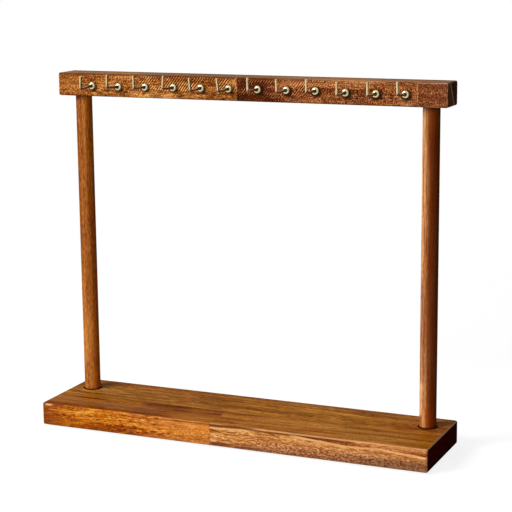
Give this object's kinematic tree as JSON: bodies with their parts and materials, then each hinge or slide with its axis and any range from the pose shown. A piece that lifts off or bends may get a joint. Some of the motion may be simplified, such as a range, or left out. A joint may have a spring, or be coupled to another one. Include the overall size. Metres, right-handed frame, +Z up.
{
  "type": "necklace stand",
  "caption": "Free-standing wooden necklace stand: a rail with a row of square-bent brass hooks on two round posts in a flat glued-up base.",
  "frame": {"origin": "centre of the base's footprint, on the surface that the stand rests on", "axes": "+X along the rail and the base, -Y the side that the hooks point to, +Z up"},
  "size_m": [0.348, 0.0834, 0.3043],
  "materials": {
    "base_front_left": "satin varnish",
    "base_front_right": "satin varnish",
    "base_middle": "satin varnish",
    "base_back": "satin varnish",
    "rail_left": "satin varnish",
    "rail_middle": "satin varnish",
    "rail_right": "satin varnish",
    "post_left": "satin varnish",
    "post_right": "satin varnish",
    "hook_brass": "polished",
    "collar_brass": "polished",
    "screw_steel": "zinc plated",
    "pad_felt": "felt"
  },
  "bodies": {
    "root": {"base_front_stave_left": "base_front_left", "base_front_stave_right": "base_front_right", "base_middle_stave": "base_middle", "base_back_stave": "base_back", "rail_stave_left": "rail_left", "rail_stave_middle": "rail_middle", "rail_stave_right": "rail_right", "post_left": "post_left", "post_right": "post_right", "base_screw_left": "screw_steel", "base_screw_right": "screw_steel", "hook_01": "hook_brass", "collar_01": "collar_brass", "hook_02": "hook_brass", "collar_02": "collar_brass", "hook_03": "hook_brass", "collar_03": "collar_brass", "hook_04": "hook_brass", "collar_04": "collar_brass", "hook_05": "hook_brass", "collar_05": "collar_brass", "hook_06": "hook_brass", "collar_06": "collar_brass", "hook_07": "hook_brass", "collar_07": "collar_brass", "hook_08": "hook_brass", "collar_08": "collar_brass", "hook_09": "hook_brass", "collar_09": "collar_brass", "hook_10": "hook_brass", "collar_10": "collar_brass", "hook_11": "hook_brass", "collar_11": "collar_brass", "hook_12": "hook_brass", "collar_12": "collar_brass", "pad_front_left": "pad_felt", "pad_front_right": "pad_felt", "pad_back_left": "pad_felt", "pad_back_right": "pad_felt"}
  },
  "joints": []
}
